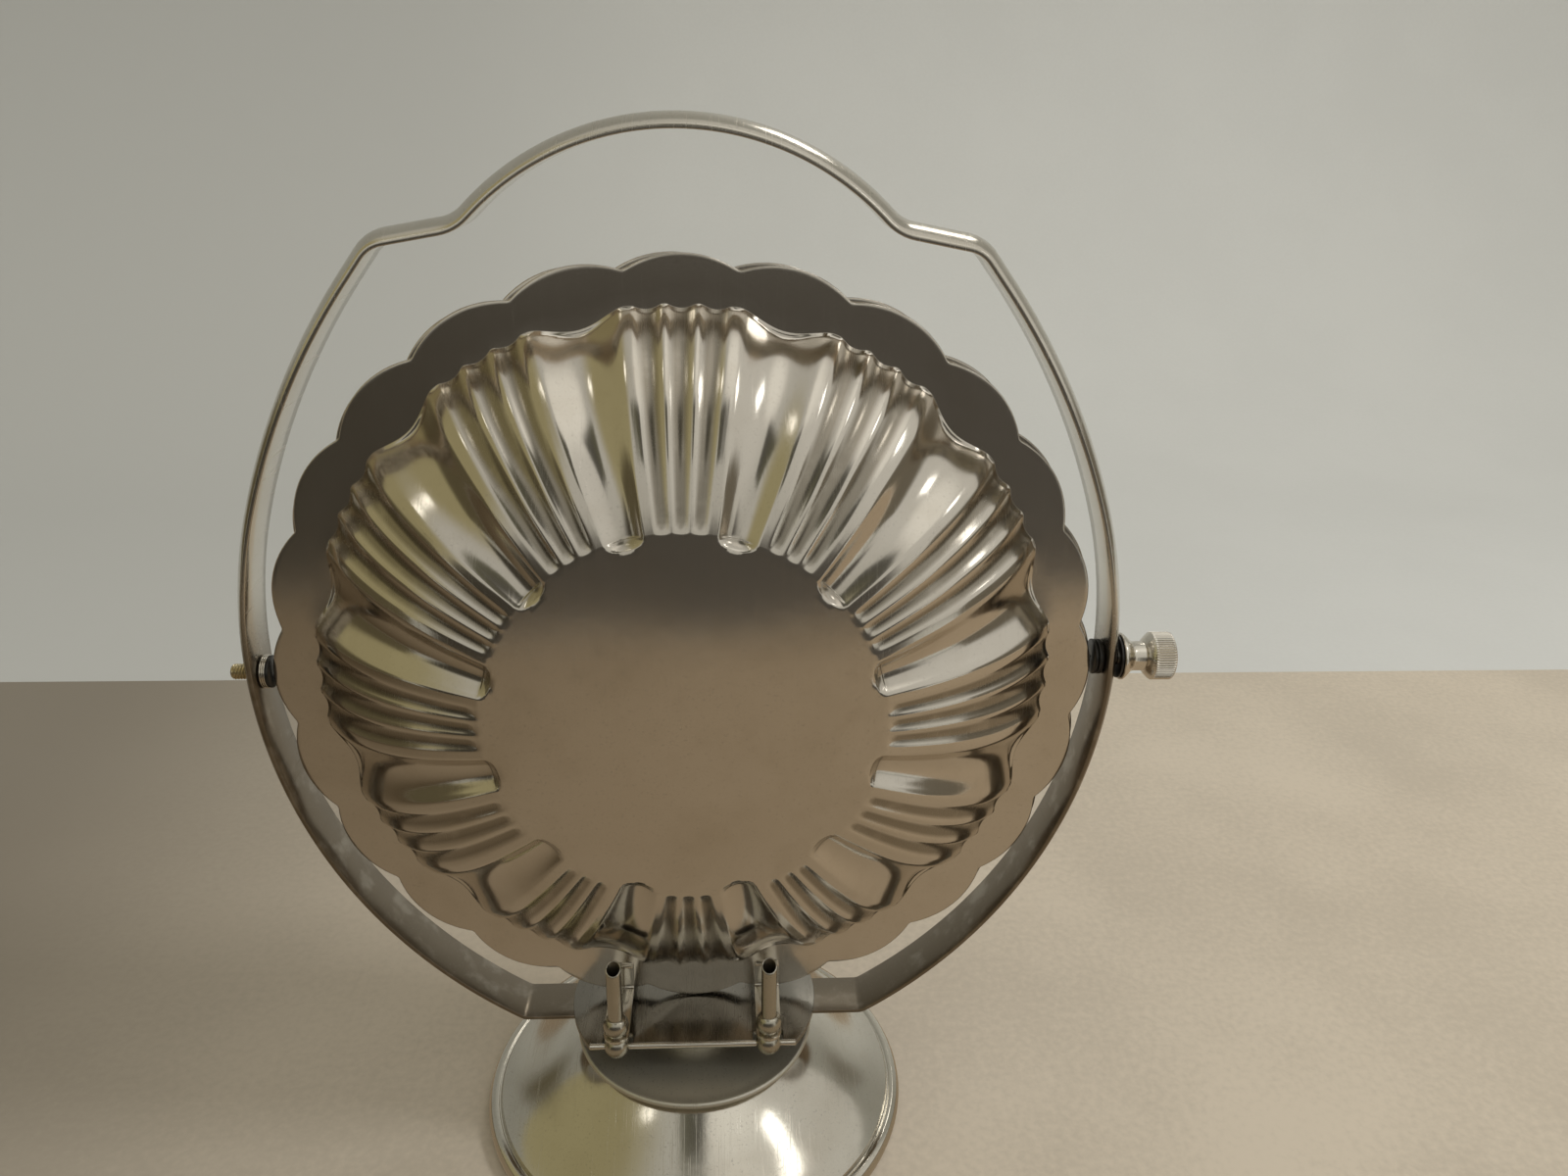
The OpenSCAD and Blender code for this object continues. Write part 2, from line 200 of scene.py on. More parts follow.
def round_box(node):
    """Radius of a round upright CAD node, the (x, y) of its axis, and its lowest and highest z."""
    low, high = box_mm(node)
    return (high.x - low.x) / 2, ((high.x + low.x) / 2, (high.y + low.y) / 2), low.z, high.z


def side_axis(node):
    """A point on the X-wise axis of a CAD node."""
    low, high = box_mm(node)
    return (0, (low.y + high.y) / 2, (low.z + high.z) / 2)


# ---------- shader helpers ----------

def new_material(name):
    """A material with its node tree and its Principled shader."""
    material = bpy.data.materials.new(name)
    material.use_nodes = True
    return material, material.node_tree, material.node_tree.nodes["Principled BSDF"]


def fill(tree, node, values):
    """Fills inputs of a node by name or number, with constants or with other sockets."""
    for key, value in values.items():
        if isinstance(value, bpy.types.NodeSocket):
            tree.links.new(value, node.inputs[key])
        else:
            node.inputs[key].default_value = value


def add(tree, kind, values=None, **settings):
    """A new shader node with its settings and its inputs."""
    made = tree.nodes.new(kind)
    for name, value in settings.items():
        setattr(made, name, value)
    fill(tree, made, values or {})
    return made


def noise(tree, place, scale, detail=3.0, roughness=0.55, distortion=0.0):
    """Noise between 0 and 1 on a position."""
    return add(tree, "ShaderNodeTexNoise", {
        "Vector": place, "Scale": scale, "Detail": detail, "Roughness": roughness, "Distortion": distortion,
    }).outputs["Fac"]


def ramp(tree, value, low, high, to_low=0.0, to_high=1.0):
    """Smoothly maps a value from the range low..high to the range to_low..to_high."""
    return add(tree, "ShaderNodeMapRange", {
        "Value": value, "From Min": low, "From Max": high, "To Min": to_low, "To Max": to_high,
    }, interpolation_type="SMOOTHSTEP").outputs["Result"]


def maths(tree, operation, a, b, clamp=False):
    """The sum, product or other combination of two values."""
    return add(tree, "ShaderNodeMath", {0: a, 1: b}, operation=operation, use_clamp=clamp).outputs[0]


MIX_FACTOR, MIX_A, MIX_B, MIX_COLOUR = 0, 6, 7, 2


def mix_colour(tree, factor, a, b):
    """Colour a where the factor is 0, colour b where it is 1; each is an RGB tuple or a socket."""
    made = add(tree, "ShaderNodeMix", data_type="RGBA")
    a, b = ((*c, 1.0) if isinstance(c, tuple) else c for c in (a, b))
    fill(tree, made, {MIX_FACTOR: factor, MIX_A: a, MIX_B: b})
    return made.outputs[MIX_COLOUR]


def times(colour, share):
    """A colour with each part multiplied by the share."""
    return tuple(c * share for c in colour)


# ---------- materials ----------

def scratches(tree, place, turn, length, width, amount):
    """Fine straight scratches in one direction, as a mask; length and width are in metres."""
    turned = add(tree, "ShaderNodeMapping", {
        "Vector": place, "Rotation": turn, "Scale": (1 / width, 1 / length, 1 / length),
    }).outputs["Vector"]
    lines = noise(tree, turned, 1.0, detail=1.0, roughness=0.4, distortion=0.25)
    return ramp(tree, lines, 1 - amount, 1 - amount + 0.06)


def two_way_scratches(tree, place):
    """Two crossing sets of fine scratches."""
    return maths(tree, "ADD",
                 scratches(tree, place, (0.0, 0.35, 0.0), 0.030, 0.00025, 0.335),
                 scratches(tree, place, (0.0, 1.25, 0.3), 0.018, 0.00020, 0.325), clamp=True)


def worn_surface(tree, place, marks, wear):
    """Normal of an uneven pressed surface with the marks cut into it."""
    waves = add(tree, "ShaderNodeBump", {
        "Strength": 0.25 * wear, "Distance": 0.00012, "Height": noise(tree, place, 160.0, detail=3.0),
    })
    lines = add(tree, "ShaderNodeBump", {
        "Strength": 0.35 * wear, "Distance": 0.000012, "Height": marks, "Normal": waves.outputs["Normal"],
    }, invert=True)
    return lines.outputs["Normal"]


def metal(name, clean, stained, roughness, wear=1.0, stain=0.5):
    """Plated metal: drifting tarnish, darkening by the hollow attribute (real tarnish in grooves, painted
    shade in corners, bores and low parts), speckle, fine scratches and an uneven pressed surface.

    clean and stained are its colours, and roughness is that of clean metal. wear scales the speckle, the
    scratches and the waves, and stain the tarnish.
    """
    material, tree, shader = new_material(name)
    place = add(tree, "ShaderNodeTexCoord").outputs["Object"]

    cloud = ramp(tree, noise(tree, place, 22.0, detail=5.0, distortion=0.6), 0.42, 0.72)
    fine_cloud = ramp(tree, noise(tree, place, 130.0, detail=4.0), 0.45, 0.75)
    speck = ramp(tree, noise(tree, place, 1700.0, detail=2.0), 0.60, 0.72)
    hollow = add(tree, "ShaderNodeAttribute", attribute_name="hollow").outputs["Fac"]
    marks = two_way_scratches(tree, place)

    dull = maths(tree, "ADD", maths(tree, "MULTIPLY", cloud, 0.55),
                 maths(tree, "MULTIPLY", fine_cloud, 0.25), clamp=True)
    dull = maths(tree, "MULTIPLY", dull, stain, clamp=True)
    # Real tarnish and painted shade: the hollow attribute darkens the colour toward half the stained tone.
    tarnish_and_shade_mask = maths(tree, "MULTIPLY", hollow, ramp(tree, fine_cloud, 0.0, 1.0, 1.0, 0.75), clamp=True)

    colour = mix_colour(tree, dull, clean, stained)
    colour = mix_colour(tree, tarnish_and_shade_mask, colour, times(stained, 0.5))
    colour = mix_colour(tree, maths(tree, "MULTIPLY", speck, 0.35 * wear), colour, times(clean, 0.45))

    rough = roughness
    for mask, amount in ((dull, 0.10), (tarnish_and_shade_mask, 0.14), (marks, 0.10 * wear), (speck, 0.08 * wear)):
        rough = maths(tree, "ADD", maths(tree, "MULTIPLY", mask, amount), rough)

    fill(tree, shader, {"Metallic": 1.0, "Base Color": colour, "Roughness": rough,
                        "Normal": worn_surface(tree, place, marks, wear)})
    return material


def rubber(name, colour):
    """Dark hard rubber with a faint bloom."""
    material, tree, shader = new_material(name)
    place = add(tree, "ShaderNodeTexCoord").outputs["Object"]
    bloom = ramp(tree, noise(tree, place, 700.0, detail=4.0), 0.4, 0.75)
    bump = add(tree, "ShaderNodeBump", {
        "Strength": 0.4, "Distance": 0.00003, "Height": noise(tree, place, 2600.0, detail=3.0),
    })
    fill(tree, shader, {"Base Color": mix_colour(tree, bloom, colour, times(colour, 2.2)),
                        "Roughness": ramp(tree, bloom, 0.0, 1.0, 0.28, 0.46),
                        "Normal": bump.outputs["Normal"]})
    return material


SHELL_METAL = metal("shell_silver_plate", (0.71, 0.67, 0.61), (0.43, 0.37, 0.275), 0.135,
                    wear=0.5, stain=0.36)
STRAP_METAL = metal("handle_silver_plate", (0.72, 0.685, 0.62), (0.48, 0.41, 0.32), 0.17, stain=0.35)
STAND_METAL = metal("stand_silver_plate", (0.66, 0.63, 0.565), (0.42, 0.36, 0.27), 0.14, stain=0.40)
DISC_METAL = metal("disc_silver_plate", (0.70, 0.68, 0.61), (0.48, 0.43, 0.34), 0.52, stain=0.35)
# Painted shade: the hinge plate's metal is made dark so that it shows the dark reflection of the room in
# front of it.
PLATE_METAL = metal("plate_silver_plate", (0.30, 0.285, 0.255), (0.20, 0.175, 0.14), 0.22, stain=0.40)
ARM_METAL = metal("arm_nickel_plate", (0.50, 0.475, 0.41), (0.32, 0.275, 0.20), 0.22, wear=0.7, stain=0.45)
BRIGHT_METAL = metal("bright_nickel_plate", (0.78, 0.745, 0.68), (0.47, 0.40, 0.30), 0.17,
                     wear=0.7, stain=0.30)
BRASS_METAL = metal("worn_brass", (0.62, 0.53, 0.33), (0.30, 0.24, 0.13), 0.30, stain=0.75)
BLACK_RUBBER = rubber("black_rubber", (0.012, 0.011, 0.010))


def finish_piece(obj, node, material):
    """Gives a remade piece its material, and lets it stand for its CAD node on the node's body."""
    obj.name = node + "_detailed"
    obj.data.name = obj.name
    obj.data.materials.append(material)
    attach(obj, BODY_OF[node])
    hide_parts(node)


# ---------- fluted dishes ----------

# Along the wall, u is 0 at the edge of the flat middle, below 0 on it, and 1 where the wall would be upright.
# Twelve groups of narrow grooves go round a dish, with a broad flute between each two. Both are pressed in
# from the crests. Angles are in degrees, from the middle groove of a group.
FLAT_R = 46.0
WALL_R = 90.0            # at u = 1
SHEET_T = 0.9
FLANGE_Y = CLOSING_GAP + SHEET_T + 0.2
KINK = 0.34              # how sharply the wall starts at the flat
FULLNESS = 0.88          # the higher, the less steep the wall at the rim
WALL_END_U = 0.985       # where the wall gives way to the corner at the flange
FLANGE_BEND = 0.3        # how softly the pressing runs out on the flange

GROUP_PITCH = 30.0
SCOOP_DEPTH = 3.4        # of the broad flutes, at the rim
SCOOP_SHARE_IN = 0.68    # share of that depth at the flat
SCOOP_HALF_IN = 5.3      # half angle of a broad flute at the flat
SCOOP_HALF_OUT = 7.3     # and at the rim
SCOOP_POWER = 0.8        # section of a broad flute: the higher, the softer its sides
HEEL_U = -0.05           # where the broad flutes start on the flat
HEEL_RUN = 0.075         # length of their rounded heel
BRIM = 0.08              # how softly their sides round over to the crest

RIB_PITCH = 4.8
GROOVE_DEPTH = 1.1       # of the narrow grooves between the ribs, at the rim
GROOVE_SHARE_IN = 0.45   # share of that depth at the flat
GROOVE_HALF = 2.2
GROOVE_POWER = 1.25
GROOVE_START_U = -0.03   # where the grooves start on the flat
GROOVE_RUN = 0.10        # over which they deepen

SCALLOP_PITCH = 15.0
NOTCH_DEPTH = 3.0        # of the notches between the scallops
EDGE_ROUND = 0.3         # of the sheet's edge
BACK_TWIST = 1.5         # of the back dish against the front one

WAVE_ROOM = 0.09         # more than the most that unevenness() gives, so that it never grows the dish
# How much the metal darkens: real tarnish in the narrow grooves, a darkening at the heels of the broad
# flutes, and painted shade along the corner from the wall to the flange.
GROOVE_TARNISH, HEEL_DARKENING, CORNER_SHADE = 0.7, 0.5, 0.3
HEEL_DARKEST_U = -0.02   # where the heels are darkest
HEEL_DARKENING_RUN = 0.06

# Angles over one group, as (from, to, steps): the ribs, an edge, the middle and an edge of the broad flute
GROUP_BANDS = [(-7.2, 7.2, 36), (7.2, 9.6, 5), (9.6, 20.4, 12), (20.4, 22.8, 5)]
FLAT_RADII = (7, 16, 25, 33, 40, 42.5)
WALL_STATIONS = [*np.linspace(HEEL_U, 0.03, 12, endpoint=False), *np.arange(0.03, 0.2, 0.028),
                 *np.arange(0.2, 0.78, 0.04), *np.arange(0.78, 0.98, 0.01), WALL_END_U]


def from_nearest(angles, pitch):
    """Angle from the nearest multiple of the pitch."""
    return np.abs(angles - pitch * np.round(angles / pitch))


def smooth_step(x):
    """Rises smoothly from 0 at 0 to 1 at 1, and stays level outside."""
    x = np.clip(x, 0.0, 1.0)
    return x * x * (3 - 2 * x)


def dish_angles():
    """Angles round a dish, close together over the ribs and at the edges of the broad flutes."""
    bands = [np.linspace(low, high, steps, endpoint=False) for low, high, steps in GROUP_BANDS]
    groups = range(round(360 / GROUP_PITCH))
    return np.concatenate([np.concatenate(bands) + GROUP_PITCH * g for g in groups])


def crest(u):
    """Radius and depth over the crests, and the outward direction there."""
    run = WALL_R - FLAT_R
    radius = FLAT_R + run * u
    if u <= 0:
        return (radius, DISH_DEPTH), (0.0, 1.0)
    sag = KINK * u * (1 - u) ** 2
    depth = DISH_DEPTH * ((1 - u * u) ** FULLNESS - sag)
    swell = 2 * FULLNESS * u * (1 - u * u) ** (FULLNESS - 1)
    slope = DISH_DEPTH * (swell + KINK * (1 - u) * (1 - 3 * u)) / run
    size = math.hypot(slope, 1)
    return (radius, depth), (slope / size, 1 / size)


def scoop_in(u, angles):
    """How far a broad flute is pressed in: a round-cornered heel on the flat, a soft trough at the rim."""
    up = max(u, 0.0)
    half = SCOOP_HALF_IN + (SCOOP_HALF_OUT - SCOOP_HALF_IN) * up
    across = (GROUP_PITCH / 2 - from_nearest(angles, GROUP_PITCH)) / half
    heel = np.clip(1 - (u - HEEL_U) / HEEL_RUN, 0, 1)
    bowl = np.clip(1 - across ** 2 - heel ** 3, 0, 1) ** (SCOOP_POWER + up)
    deepest = SCOOP_DEPTH * (SCOOP_SHARE_IN + (1 - SCOOP_SHARE_IN) * up)
    return deepest * bowl * bowl * (1 + BRIM) / (bowl + BRIM)


def groove_share(u, angles):
    """Share of its full depth to which the sheet is pressed in between the narrow ribs."""
    off = from_nearest(angles, GROUP_PITCH)
    across = from_nearest(off, RIB_PITCH) / GROOVE_HALF
    groove = np.clip(1 - across ** 2, 0, 1) ** GROOVE_POWER
    return np.where(off > 1.5 * RIB_PITCH, 0.0, groove) * smooth_step((u - GROOVE_START_U) / GROOVE_RUN)


def unevenness(x, z):
    """The faint waviness of pressed sheet."""
    return 0.05 * np.sin(x / 9.0 + 0.7) * np.sin(z / 11.0) + 0.03 * np.sin(x / 23.0 - z / 17.0 + 1.9)


def dish_rings(angles, skin, floor):
    """Rings of (radius, depth, hollow) over the angles, from the middle to the end of the wall; the third
    holds real tarnish and painted shade.

    skin is the sheet to take off, and floor the depth of the flange that the pressing runs out on.
    """
    ones = np.ones_like(angles)
    rings = [(r * ones, (DISH_DEPTH - skin) * ones, 0 * ones) for r in FLAT_RADII]
    for u in WALL_STATIONS:
        (r, depth), (out_r, out_y) = crest(u)
        scoop, groove = scoop_in(u, angles), groove_share(u, angles)
        groove_depth = GROOVE_DEPTH * (GROOVE_SHARE_IN + (1 - GROOVE_SHARE_IN) * max(u, 0.0))
        inward = scoop + groove * groove_depth + skin
        hollow = GROOVE_TARNISH * smooth_step((groove - 0.45) / 0.35)
        # The metal is darker at the heels of the broad flutes.
        at_heel = smooth_step(1 - abs(u - HEEL_DARKEST_U) / HEEL_DARKENING_RUN)
        hollow = hollow + HEEL_DARKENING * at_heel * smooth_step(scoop / 2)
        above = depth - inward * out_y - floor
        above = (above + np.sqrt(above ** 2 + FLANGE_BEND ** 2)) / 2
        rings.append((r - inward * out_r, floor + above, hollow))
    return rings


def flange_rings(angles, wall_end, edge_y, outward):
    """The concave corner from the wall to the rim flange, with painted shade along it, and the flange to its
    scalloped edge.

    edge_y is the depth of this side of the flange; outward is 1 on the outside of the dish, -1 on the inside.
    """
    ones = np.ones_like(angles)
    _, (out_r, out_y) = crest(WALL_END_U)
    end_r, end_y, _ = wall_end
    corner_r = end_r + (end_y - edge_y) * out_y / out_r
    reach = (end_y - edge_y) / out_r
    rings = []
    for t in np.linspace(0.2, 1, 5):
        r = (1 - t) ** 2 * end_r + 2 * t * (1 - t) * corner_r + t * t * (corner_r + reach)
        y = (1 - t) ** 2 * end_y + (1 - (1 - t) ** 2) * edge_y
        # Painted shade: the corner from the wall to the flange is darkened toward the wall.
        rings.append((r, y, CORNER_SHADE * (1 - t * t) * ones))
    start = rings[-1][0]
    rim = RIM_R - NOTCH_DEPTH * (2 * from_nearest(angles, SCALLOP_PITCH) / SCALLOP_PITCH) ** 2
    for t in (0.35, 0.7, 0.93):
        rings.append((start + (rim - EDGE_ROUND - start) * t, edge_y * ones, 0 * ones))
    for turn in np.radians((0, 30, 60, 90)):
        y = edge_y - outward * EDGE_ROUND * (1 - math.cos(turn))
        rings.append((rim - EDGE_ROUND + EDGE_ROUND * math.sin(turn), y * ones, 0 * ones))
    return rings


def dish_mesh(name):
    """One dish as a closed sheet, its flat middle at -Y and its closing plane at Y = 0."""
    angles = dish_angles()
    outside = dish_rings(angles, 0.0, FLANGE_Y)
    outside += flange_rings(angles, outside[-1], FLANGE_Y, 1)
    inside = dish_rings(angles, SHEET_T, CLOSING_GAP)
    inside += flange_rings(angles, inside[-1], CLOSING_GAP, -1)
    rings = outside + inside[::-1]

    turn = np.radians(angles)
    points, hollows = [], []
    for r, depth, hollow in rings:
        x, z = r * np.sin(turn), r * np.cos(turn)
        waved = np.where(depth > FLANGE_Y + 0.1, unevenness(x, z) - WAVE_ROOM, 0.0)
        points.extend(zip(x, -(depth + waved), z + RIM_Z))
        hollows.extend(hollow)

    count = len(angles)
    faces = grid_faces(len(rings), count)
    last = (len(rings) - 1) * count
    outer_tip, inner_tip = len(points), len(points) + 1
    flat_depth = DISH_DEPTH - WAVE_ROOM
    points.extend([(0, -flat_depth, RIM_Z), (0, -(flat_depth - SHEET_T), RIM_Z)])
    hollows.extend((0.0, 0.0))
    for j in range(count):
        k = (j + 1) % count
        faces.append((outer_tip, k, j))
        faces.append((inner_tip, last + j, last + k))

    mesh = mesh_in_metres(name, points, faces)
    mark_hollows(mesh, hollows)
    work = bmesh.new()
    work.from_mesh(mesh)
    bmesh.ops.recalc_face_normals(work, faces=work.faces)
    work.to_mesh(mesh)
    work.free()
    mesh.shade_smooth()
    return mesh


def make_dishes():
    """Both dishes; the back one is the front one turned round, with its scallops off by the twist."""
    front = add_object("front_dish_sheet", dish_mesh("front_dish_sheet"))
    finish_piece(front, "front_shell", SHELL_METAL)
    back = add_object("back_dish_sheet", dish_mesh("back_dish_sheet"))
    centre = Matrix.Translation((0, 0, RIM_Z * MM))
    turned = Matrix.Rotation(math.pi, 4, "Z") @ Matrix.Rotation(math.radians(BACK_TWIST), 4, "Y")
    back.data.transform(centre @ turned @ centre.inverted())
    finish_piece(back, "back_shell", SHELL_METAL)


# ---------- handle strap ----------

STRAP_W = STRAP_HIGH.y - STRAP_LOW.y
STRAP_T = 3.4
STRAP_EDGE_T = 1.0
DOME_POINTS = 15         # over the strap's domed outside
# Right half of the loop from its top: (radius, turn in degrees); a negative radius bends outward,
# and a radius of 0 is a straight of that length.
HANDLE_RUN = [(61, 45), (-12, -34.5), (0, 12), (7, 42), (0, 6.6), (172, 20), (125, 74), (3, 33.5)]
STRAP_STEP = 1.6         # between points along the strap
BOTTOM_STEPS = 14        # over the straight bottom of the loop
# Painted shade: the strap is darkened below this height, for the dark reflection its lower part shows.
STRAP_SHADE_Z = 160.0  # below this height the strap darkens
STRAP_SHADE_FADE = 30.0


def run_points(start, radius, turn):
    """Points (x, z, heading) along one arc or straight of the loop that begins at start."""
    x, z, heading = start
    length = turn if radius == 0 else abs(radius * math.radians(turn))
    count = max(6, math.ceil(length / STRAP_STEP))
    points = []
    for _ in range(count):
        if radius == 0:
            x, z = x + length / count * math.cos(heading), z + length / count * math.sin(heading)
        else:
            ahead = heading - math.radians(turn) / count
            x += radius * (math.sin(heading) - math.sin(ahead))
            z -= radius * (math.cos(heading) - math.cos(ahead))
            heading = ahead
        points.append((x, z, heading))
    return points


def handle_path():
    """Points (x, z, outward x, outward z) clockwise round the loop, with the top of its inside at z = 0."""
    run = [(0.0, 0.0, 0.0)]
    for radius, turn in HANDLE_RUN:
        run += run_points(run[-1], radius, turn)
    right = [(x, z, -math.sin(heading), math.cos(heading)) for x, z, heading in run]
    end_x, end_z, nx, nz = right[-1]
    bottom = [(end_x * (1 - 2 * k / BOTTOM_STEPS), end_z, nx, nz) for k in range(1, BOTTOM_STEPS)]
    left = [(-x, z, -out_x, out_z) for x, z, out_x, out_z in right[:0:-1]]
    return right + bottom + left


def strap_outline():
    """Section of the strap as (out of the loop, across): flat inside, domed outside, with soft corners."""
    half = STRAP_W / 2
    sag = STRAP_T - STRAP_EDGE_T
    dome_r = (half ** 2 + sag ** 2) / (2 * sag)
    spread = math.asin(half / dome_r)
    dome = [(STRAP_T - dome_r + dome_r * math.cos(spread * t), dome_r * math.sin(spread * t))
            for t in np.linspace(1, -1, DOME_POINTS)]
    inner_round, outer_round = 0.22, 0.3
    radii = [inner_round, outer_round] + [0.0] * (DOME_POINTS - 2) + [outer_round, inner_round]
    return rounded([(0.0, half)] + dome + [(0.0, -half)], radii, steps=2)


def make_handle():
    """The loop handle, with painted shade below the side screws."""
    path = handle_path()
    section = strap_outline()
    drop = STRAP_HIGH.z - STRAP_T
    points = [(x + nx * out, across, drop + z + nz * out) for x, z, nx, nz in path for out, across in section]
    obj = new_object("strap", points, grid_faces(len(path), len(section), close_rows=True), sharp_deg=50)
    # Painted shade on the strap's lower part.
    mark_hollows(obj.data, [smooth_step((STRAP_SHADE_Z - p[2]) / STRAP_SHADE_FADE) for p in points])
    finish_piece(obj, "handle_frame", STRAP_METAL)


# ---------- foot and disc ----------

FOOT_R = FOOT_HIGH.x
FOOT_WALL = 1.0
FOOT_BORE_R = 3.0        # hidden by the neck
DOME_LOW_R = FOOT_R - 3.9
DOME_LOW_Z = 5.2
DOME_TOP_R = 27.0
DISC_BEAD_R = 0.8
DISC_DISH = 0.2          # the disc's top below its bead


def foot_dome(s):
    """The dome's outline from the bead, s = 0, to the disc, s = 1, as in the CAD source."""
    rise = 0.62 * s + 0.38 * s ** 3 + 0.28 * math.sin(math.pi * s) * s
    return (DOME_LOW_R + (DOME_TOP_R - DOME_LOW_R) * s, DOME_LOW_Z + (FOOT_HIGH.z - DOME_LOW_Z) * rise)


def make_foot():
    """The spun foot: a bead round its edge, a dome, and a recess under it."""
    top = FOOT_HIGH.z
    bead = [(FOOT_R - 1.1, 0.0), (FOOT_R - 0.3, 0.5), (FOOT_R, 1.7), (FOOT_R, 2.6), (FOOT_R - 0.7, 3.9),
            (FOOT_R - 1.8, 4.45), (FOOT_R - 2.7, 4.35), (FOOT_R - 3.25, 4.0), (FOOT_R - 3.6, 4.5)]
    dome = [foot_dome(s) for s in np.linspace(0, 1, 40)]
    outside = rounded(bead, 0.6, closed=False) + dome + [(FOOT_BORE_R, top)]
    inside = [(FOOT_BORE_R, top - FOOT_WALL)] + [(r - 1.2, z - FOOT_WALL) for r, z in dome[::-1]]
    under = [(FOOT_R - 5, 3.2), (FOOT_R - 2.4, 2.6), (FOOT_R - 2.4, 0.0)]
    foot = lathe("foot_lathe", outside + inside + under, (0, 0, 0), closed=True, segments=192)
    finish_piece(foot, "foot", STAND_METAL)


def make_disc():
    """The flat disc on the foot, with a bead round its edge."""
    low, high = box_mm("top_disc")
    radius = high.x
    bead_in, bead_z = radius - DISC_BEAD_R, high.z - DISC_BEAD_R
    edge = [(bead_in + DISC_BEAD_R * math.cos(a), bead_z + DISC_BEAD_R * math.sin(a))
            for a in np.radians(np.arange(-90, 91, 15))]
    flat = high.z - DISC_DISH
    top = [(radius - 1.6, flat), (radius - 3.5, flat), (FOOT_BORE_R, flat)]
    outline = [(FOOT_BORE_R, low.z + 0.4)] + edge + top
    disc = lathe("disc_lathe", outline, (0, 0, 0), closed=True, segments=160)
    finish_piece(disc, "top_disc", DISC_METAL)


# ---------- hinges ----------

ROD_Y = -(box_mm("front_rod")[0].y + box_mm("front_rod")[1].y) / 2
ROD_CHAMFER = 0.15
PLATE_R = PLATE_HIGH.x
PLATE_BEVEL = 0.22
NOTCH_W = 7.8            # of the plate's notches for the knuckles
NOTCH_IN = 4.3
NOTCH_ROUND = 0.5
KNUCKLE_WIDEST = 3.2     # above a knuckle's lower end


def plate_outline():
    """The hinge plate from above: a disc cut off along both rods, with a notch for each knuckle."""
    arm_x = round_box("front_arm_r")[1][0]
    corner = math.asin(ROD_Y / PLATE_R)
    right = [(PLATE_R * math.cos(a), PLATE_R * math.sin(a)) for a in np.linspace(-corner, corner, 40)]
    back = []
    for x in (arm_x, -arm_x):
        near, far = x + NOTCH_W / 2, x - NOTCH_W / 2
        cut = [(near, ROD_Y), (near, ROD_Y - NOTCH_IN), (far, ROD_Y - NOTCH_IN), (far, ROD_Y)]
        edge = [(x + NOTCH_W, ROD_Y)] + cut + [(x - NOTCH_W, ROD_Y)]
        back += rounded(edge, NOTCH_ROUND, closed=False)[1:-1]
    return right + back + [(-x, -y) for x, y in right + back]


def make_rod(node):
    """A thin rod along X with chamfered ends."""
    low, high = box_mm(node)
    radius = (high.z - low.z) / 2
    end_r = radius - ROD_CHAMFER
    outline = [(0, low.x), (end_r, low.x), (radius, low.x + ROD_CHAMFER),
               (radius, high.x - ROD_CHAMFER), (end_r, high.x), (0, high.x)]
    finish_piece(lathe(node, outline, side_axis(node), axis="x", segments=32), node, BRIGHT_METAL)


def make_hinge():
    """The hinge plate and both rods."""
    plate = extruded("plate", plate_outline(), PLATE_LOW.z, PLATE_HIGH.z, PLATE_BEVEL)
    finish_piece(plate, "hinge_plate", PLATE_METAL)
    make_rod("front_rod")
    make_rod("back_rod")


def bead_outline(radius, low, high, middle, lip=0.25):
    """A ball cut off at two heights, with softened rims, from axis to axis."""
    start, end = math.asin((low - middle) / radius), math.asin(min(1, (high - middle) / radius))
    arc = [(radius * math.cos(a), middle + radius * math.sin(a)) for a in np.linspace(start, end, 20)]
    low_rim, high_rim = (max(0.1, arc[k][0] - lip) for k in (0, -1))
    return [(0, low), (low_rim, low)] + arc[1:-1] + [(high_rim, high), (0, high)]


def make_bead(node, widest=None):
    """A turned bead of an arm, widest at the given height above its lower end, or half way up."""
    radius, axis, low, high = round_box(node)
    middle = (low + high) / 2 if widest is None else low + widest
    bead = lathe(node, bead_outline(radius, low, high, middle), (*axis, 0), segments=64)
    finish_piece(bead, node, ARM_METAL)


ARM_SLANT = math.tan(math.radians(30))
ARM_WALL = 0.36
ARM_FLOOR = 1.0          # thickness of the tube's closed lower end


def make_arm(node):
    """An upright tube whose open top is cut on a slant that faces outward, with painted shade inside its
    bore.
    """
    radius, axis, low, high = round_box(node)
    top = high - radius * ARM_SLANT
    bore = radius - ARM_WALL
    outward = -1 if axis[1] < 0 else 1

    def slant(p, q, h, _):
        return p, q, h - outward * q * ARM_SLANT if h > top - 1 else h

    outline = [(0, low), (radius, low), (radius, top - 0.3), (radius - 0.06, top - 0.06), (radius - 0.2, top),
               (bore + 0.12, top), (bore, top - 0.12), (bore, low + ARM_FLOOR), (0, low + ARM_FLOOR)]
    arm = lathe(node, outline, (*axis, 0), segments=64, shape=slant)
    # Painted shade: the metal inside the tube's bore is darkened.
    inner = bore + 0.05
    offsets = [math.hypot(v.co.x / MM - axis[0], v.co.y / MM - axis[1]) for v in arm.data.vertices]
    mark_hollows(arm.data, [float(offset < inner) for offset in offsets])
    finish_piece(arm, node, ARM_METAL)


BRACKET_T = 0.9
BRACKET_BEND = 1.3       # radius of the fold, to the middle of the strip
BRACKET_ROUND = 0.12
LEG_CORNERS = (0.15, 0.5)    # how much narrower each side of the leg is at its last two stations


